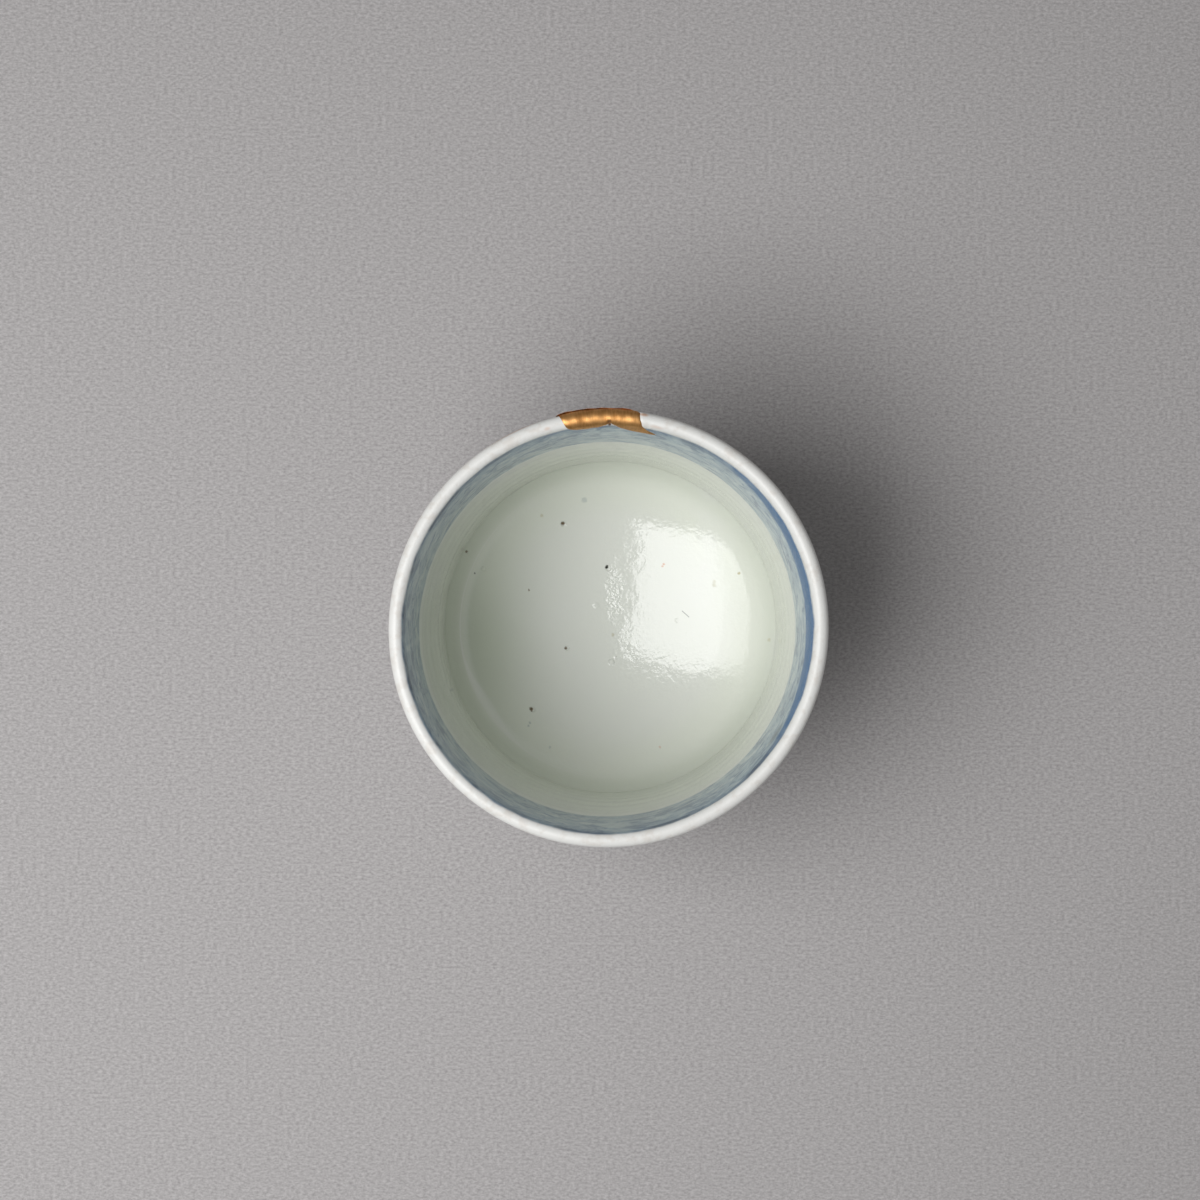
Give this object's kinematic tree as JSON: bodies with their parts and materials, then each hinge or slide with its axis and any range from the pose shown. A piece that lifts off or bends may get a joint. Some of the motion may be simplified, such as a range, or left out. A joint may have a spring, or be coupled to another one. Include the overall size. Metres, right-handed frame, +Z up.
{
  "type": "kintsugi sake cup",
  "caption": "Small round porcelain cup with a flared lip, a foot ring, and a chip in the rim that is mended with gold lacquer.",
  "frame": {"origin": "middle of the foot ring's contact face", "axes": "+Z up out of the cup; the gold mend is at +Y; +X is to the right of the mend seen from above with the mend at the top"},
  "size_m": [0.0662, 0.0661, 0.0523],
  "materials": {
    "porcelain": "clear glossy glaze over white porcelain, with a grey-blue underglaze band inside the rim",
    "gold": "satin powdered gold on lacquer, brushed on by hand"
  },
  "bodies": {
    "root": {"porcelain_cup": "porcelain", "gold_repair": "gold"}
  },
  "joints": []
}
